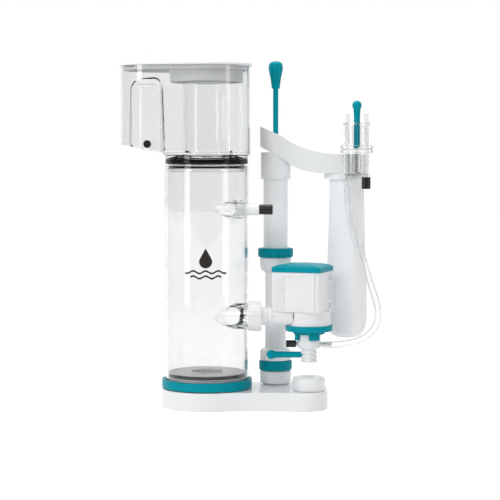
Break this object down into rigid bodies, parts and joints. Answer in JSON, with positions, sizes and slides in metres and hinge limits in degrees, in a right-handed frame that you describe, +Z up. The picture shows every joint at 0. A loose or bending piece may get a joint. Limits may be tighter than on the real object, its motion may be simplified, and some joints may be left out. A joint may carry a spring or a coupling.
{
  "type": "protein skimmer",
  "caption": "Aquarium protein skimmer: clear reaction tube on a moulded base, lidded collection cup, venturi pump, outlet riser with filter sock, and air silencer.",
  "frame": {"origin": "on the base's underside, on the axis of the clear reaction tube", "axes": "+X from the tube to the pump and the air silencer, +Y to the back, where the outlet riser stands, +Z up along the tube"},
  "size_m": [0.3416, 0.1315, 0.4546],
  "materials": {
    "clear_acrylic": "polished clear acrylic",
    "base_plastic": "gloss moulding",
    "pipe_plastic": "semi-gloss moulding",
    "pump_plastic": "satin moulding",
    "impeller_plastic": "satin moulding",
    "teal_plastic": "satin moulding",
    "black_rubber": "matt rubber",
    "clear_silicone": "clear flexible tube",
    "lid_plastic": "satin moulding",
    "floor_plastic": "satin moulding",
    "sock_cloth": "fine felt",
    "screw_steel": "stainless",
    "ferrite": "sintered",
    "shaft_ceramic": "ground",
    "core_steel": "laminated",
    "coil_copper": "enamelled wire"
  },
  "bodies": {
    "stand": {"body_tube": "clear_acrylic", "feed_nozzle": "clear_acrylic", "pump_nozzle": "clear_acrylic", "silencer_bottom": "clear_acrylic", "silencer_top": "clear_acrylic", "air_stubs": "clear_acrylic", "base_shell": "base_plastic", "base_plate": "base_plastic", "riser_socket": "pipe_plastic", "lower_collar": "pipe_plastic", "lower_pipe": "pipe_plastic", "upper_collar": "pipe_plastic", "upper_pipe": "pipe_plastic", "outlet_arm": "pipe_plastic", "sock_collar": "pipe_plastic", "feed_sleeve": "pump_plastic", "pump_union_tail": "pump_plastic", "volute": "pump_plastic", "venturi_body": "pump_plastic", "motor_housing": "pump_plastic", "motor_cover": "teal_plastic", "floor_seal": "black_rubber", "union_seal": "black_rubber", "volute_seal": "black_rubber", "pipe_seals": "black_rubber", "cable_gland": "black_rubber", "shaft_bushes": "black_rubber", "base_gasket": "black_rubber", "silencer_seal": "clear_silicone", "air_hose": "clear_silicone", "floor_disc": "floor_plastic", "base_screws": "screw_steel", "impeller_shaft": "shaft_ceramic", "stator_core": "core_steel", "stator_coils": "coil_copper"},
    "body_ring": {"body_ring": "teal_plastic"},
    "port_cap": {"port_cap": "base_plastic", "port_seal": "black_rubber"},
    "feed_cap": {"feed_cap": "black_rubber"},
    "pump_nut": {"pump_union_nut": "pump_plastic"},
    "volute_cover": {"volute_cover": "teal_plastic"},
    "rotor": {"impeller": "impeller_plastic", "rotor_magnet": "ferrite"},
    "venturi_cap": {"venturi_cap": "black_rubber"},
    "intake_needle": {"intake_needle": "teal_plastic"},
    "lower_union": {"lower_union_ring": "teal_plastic"},
    "upper_union": {"upper_union_ring": "teal_plastic"},
    "sock": {"filter_sock": "sock_cloth"},
    "level_gate": {"level_rod": "teal_plastic", "level_handle": "teal_plastic", "gate_plug": "black_rubber"},
    "air_needle": {"air_needle": "teal_plastic"},
    "silencer_cap": {"silencer_cap": "black_rubber"},
    "cup": {"cup_collar": "clear_acrylic", "cup_seals": "black_rubber", "collection_cup": "clear_acrylic", "foam_neck": "clear_acrylic"},
    "drain_cap": {"drain_cap": "black_rubber"},
    "lid": {"lid": "lid_plastic"}
  },
  "joints": [
    {"name": "body_ring_turn", "type": "hinge", "parent": "stand", "child": "body_ring", "pos_m": [0, 0, 0.03], "axis": [0, 0, 1], "range_deg": [-25, 0]},
    {"name": "port_cap_turn", "type": "hinge", "parent": "stand", "child": "port_cap", "pos_m": [0.1335, -0.028, 0.03], "axis": [0, 0, 1], "range_deg": [0, 90]},
    {"name": "feed_cap_pull", "type": "slide", "parent": "stand", "child": "feed_cap", "axis": [1, 0, 0], "range_m": [0, 0.03]},
    {"name": "pump_nut_turn", "type": "hinge", "parent": "stand", "child": "pump_nut", "pos_m": [0.06, -0.0376, 0.122], "axis": [1, 0, 0], "range_deg": [0, 180]},
    {"name": "volute_cover_turn", "type": "hinge", "parent": "stand", "child": "volute_cover", "pos_m": [0.1335, -0.028, 0.105], "axis": [0, 0, 1], "range_deg": [-25, 0]},
    {"name": "impeller_spin", "type": "hinge", "parent": "stand", "child": "rotor", "pos_m": [0.1335, -0.028, 0.12], "axis": [0, 0, 1], "continuous": true},
    {"name": "venturi_cap_pull", "type": "slide", "parent": "stand", "child": "venturi_cap", "axis": [-1, 0, 0], "range_m": [0, 0.02]},
    {"name": "intake_needle_slide", "type": "slide", "parent": "stand", "child": "intake_needle", "axis": [-1, 0, 0], "range_m": [-0.006, 0.015]},
    {"name": "lower_union_turn", "type": "hinge", "parent": "stand", "child": "lower_union", "pos_m": [0.091, 0.034, 0.05], "axis": [0, 0, 1], "range_deg": [0, 180]},
    {"name": "upper_union_turn", "type": "hinge", "parent": "stand", "child": "upper_union", "pos_m": [0.091, 0.034, 0.2], "axis": [0, 0, 1], "range_deg": [0, 180]},
    {"name": "sock_pull", "type": "slide", "parent": "stand", "child": "sock", "axis": [0, 0, -1], "range_m": [0, 0.06]},
    {"name": "level_rod_slide", "type": "slide", "parent": "stand", "child": "level_gate", "axis": [0, 0, 1], "range_m": [-0.05, 0]},
    {"name": "air_needle_slide", "type": "slide", "parent": "stand", "child": "air_needle", "axis": [0, 0, 1], "range_m": [-0.005, 0.02]},
    {"name": "silencer_cap_pull", "type": "slide", "parent": "stand", "child": "silencer_cap", "axis": [0, 0, -1], "range_m": [0, 0.02]},
    {"name": "cup_lift", "type": "slide", "parent": "stand", "child": "cup", "axis": [0, 0, 1], "range_m": [0, 0.12]},
    {"name": "drain_cap_pull", "type": "slide", "parent": "cup", "child": "drain_cap", "axis": [0, -1, 0], "range_m": [0, 0.02]},
    {"name": "lid_lift", "type": "slide", "parent": "cup", "child": "lid", "axis": [0, 0, 1], "range_m": [0, 0.08]}
  ]
}
